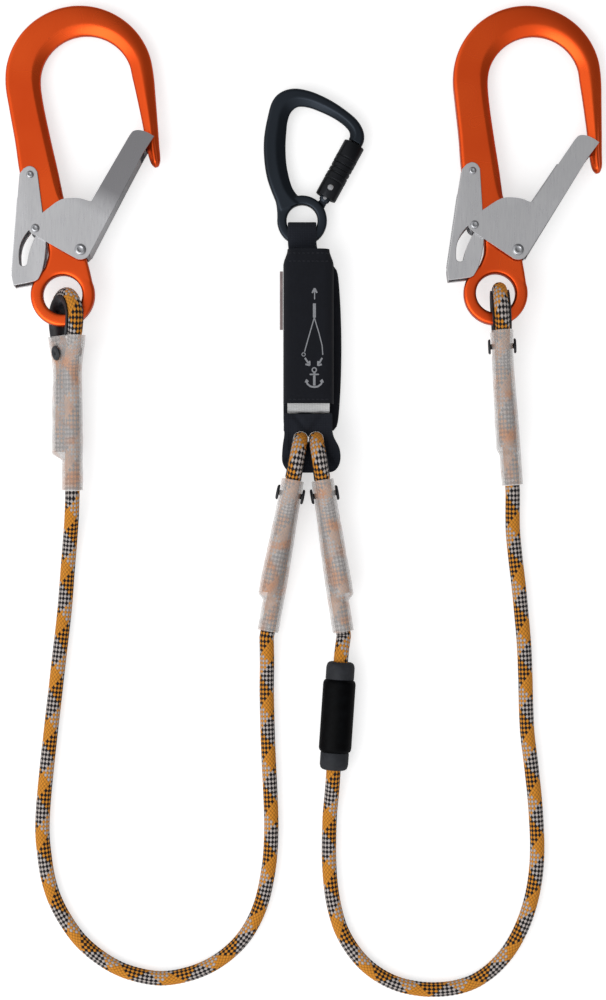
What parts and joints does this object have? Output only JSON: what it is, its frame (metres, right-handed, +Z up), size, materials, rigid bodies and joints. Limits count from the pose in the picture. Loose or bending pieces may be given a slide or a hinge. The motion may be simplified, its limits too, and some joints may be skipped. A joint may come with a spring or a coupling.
{
  "type": "twin shock-absorbing lanyard",
  "caption": "Twin-leg fall-arrest lanyard laid flat: tear-webbing absorber in a sewn pouch, auto-locking carabiner, rope legs with thimble eyes and scaffold hooks.",
  "frame": {"origin": "on the floor under the middle of the box round the connectors, absorber and sewn rope ends", "axes": "+Z up off the floor it lies on, +Y towards the connectors, +X to the right seen from above"},
  "size_m": [0.4474, 0.7462, 0.0479],
  "materials": {
    "orange_anodised": "satin orange anodised, forged",
    "stainless_sheet": "pressed stainless sheet",
    "rivet_steel": "bright rivets, pins and springs",
    "black_anodised": "satin black anodised, forged",
    "black_plastic": "matt black moulded",
    "grey_collar": "dark grey soft moulding",
    "milky_sleeve": "translucent shrink sleeve",
    "rope_sheath": "braided kernmantle sheath, orange, black, white and grey",
    "black_fabric": "woven black webbing and cover",
    "white_webbing": "folded white tear webbing"
  },
  "bodies": {
    "lanyard": {"label_booklet": "black_plastic", "left_absorber_rope_eye": "rope_sheath", "left_absorber_sleeve": "milky_sleeve", "left_absorber_thimble": "black_plastic", "left_absorber_thimble_pin": "black_plastic", "left_hook_rope_eye": "rope_sheath", "left_hook_sleeve": "milky_sleeve", "left_hook_thimble": "black_plastic", "left_hook_thimble_pin": "black_plastic", "lower_web_loop": "black_fabric", "pouch_back": "black_fabric", "pouch_front": "black_fabric", "right_absorber_rope_eye": "rope_sheath", "right_absorber_sleeve": "milky_sleeve", "right_absorber_thimble": "black_plastic", "right_absorber_thimble_pin": "black_plastic", "right_hook_rope_eye": "rope_sheath", "right_hook_sleeve": "milky_sleeve", "right_hook_thimble": "black_plastic", "right_hook_thimble_pin": "black_plastic", "rope_left": "rope_sheath", "rope_right": "rope_sheath", "tear_webbing_pack": "white_webbing", "upper_web_loop": "black_fabric"},
    "left_hook": {"left_hook_body": "orange_anodised", "left_gate_rivet": "rivet_steel", "left_lever_rivet": "rivet_steel", "left_gate_spring": "rivet_steel", "left_lever_spring": "rivet_steel"},
    "left_hook_gate": {"left_gate": "stainless_sheet", "left_heel_pin": "rivet_steel"},
    "left_hook_lever": {"left_lock_lever": "stainless_sheet"},
    "right_hook": {"right_hook_body": "orange_anodised", "right_gate_rivet": "rivet_steel", "right_lever_rivet": "rivet_steel", "right_gate_spring": "rivet_steel", "right_lever_spring": "rivet_steel"},
    "right_hook_gate": {"right_gate": "stainless_sheet", "right_heel_pin": "rivet_steel"},
    "right_hook_lever": {"right_lock_lever": "stainless_sheet"},
    "carabiner": {"carabiner_body": "black_anodised", "carabiner_hinge_pin": "rivet_steel"},
    "carabiner_gate_group": {"carabiner_gate": "black_anodised", "carabiner_gate_plunger": "rivet_steel", "carabiner_gate_spring": "rivet_steel", "locking_sleeve_spring": "rivet_steel"},
    "locking_sleeve_group": {"locking_sleeve": "black_anodised", "locking_sleeve_rivet": "rivet_steel"},
    "label_tube": {"label_cover": "black_plastic", "label_collar_upper": "grey_collar", "label_collar_lower": "grey_collar"}
  },
  "joints": [
    {"name": "left_hook_swing", "type": "hinge", "parent": "lanyard", "child": "left_hook", "pos_m": [-0.18164, 0.01564, 0.02185], "axis": [-0.0069, 0.0712, 0.9974], "range_deg": [-20, 70]},
    {"name": "left_gate_open", "type": "hinge", "parent": "left_hook", "child": "left_hook_gate", "pos_m": [-0.16791, 0.04832, 0.01961], "axis": [-0.0069, 0.0712, 0.9974], "range_deg": [0, 40], "stiffness_Nm_per_rad": 0.3, "springref_deg": -28.65},
    {"name": "left_lever_squeeze", "type": "hinge", "parent": "left_hook", "child": "left_hook_lever", "pos_m": [-0.20602, 0.10508, 0.0153], "axis": [-0.0069, 0.0712, 0.9974], "range_deg": [0, 5.61]},
    {"name": "right_hook_swing", "type": "hinge", "parent": "lanyard", "child": "right_hook", "pos_m": [0.14142, 0.01696, 0.02027], "axis": [-0.001, 0.0643, 0.9979], "range_deg": [-65, 20]},
    {"name": "right_gate_open", "type": "hinge", "parent": "right_hook", "child": "right_hook_gate", "pos_m": [0.15773, 0.04846, 0.01826], "axis": [-0.001, 0.0643, 0.9979], "range_deg": [0, 40], "stiffness_Nm_per_rad": 0.3, "springref_deg": -28.65},
    {"name": "right_lever_squeeze", "type": "hinge", "parent": "right_hook", "child": "right_hook_lever", "pos_m": [0.12429, 0.10811, 0.01438], "axis": [-0.001, 0.0643, 0.9979], "range_deg": [0, 5.61]},
    {"name": "carabiner_swing", "type": "hinge", "parent": "lanyard", "child": "carabiner", "pos_m": [-0.0031, 0.0728, 0.0085], "axis": [0, 0, 1], "range_deg": [-15, 15]},
    {"name": "carabiner_gate_open", "type": "hinge", "parent": "carabiner", "child": "carabiner_gate_group", "pos_m": [0.0141, 0.0894, 0.0085], "axis": [0, 0, 1], "range_deg": [0, 22], "stiffness_Nm_per_rad": 0.15, "springref_deg": -28.65},
    {"name": "locking_sleeve_twist", "type": "hinge", "parent": "carabiner_gate_group", "child": "locking_sleeve_group", "pos_m": [0.0141, 0.0894, 0.0085], "axis": [0.4787, 0.878, 0], "range_deg": [0, 90], "stiffness_Nm_per_rad": 0.02, "springref_deg": -28.65},
    {"name": "label_tube_slide", "type": "slide", "parent": "lanyard", "child": "label_tube", "axis": [0.068, 0.9977, 0], "range_m": [-0.006, 0.006]}
  ],
  "couplings": [
    {"joint": "left_lever_squeeze", "follows": "left_gate_open", "ratio": 0.14},
    {"joint": "right_lever_squeeze", "follows": "right_gate_open", "ratio": 0.14}
  ]
}
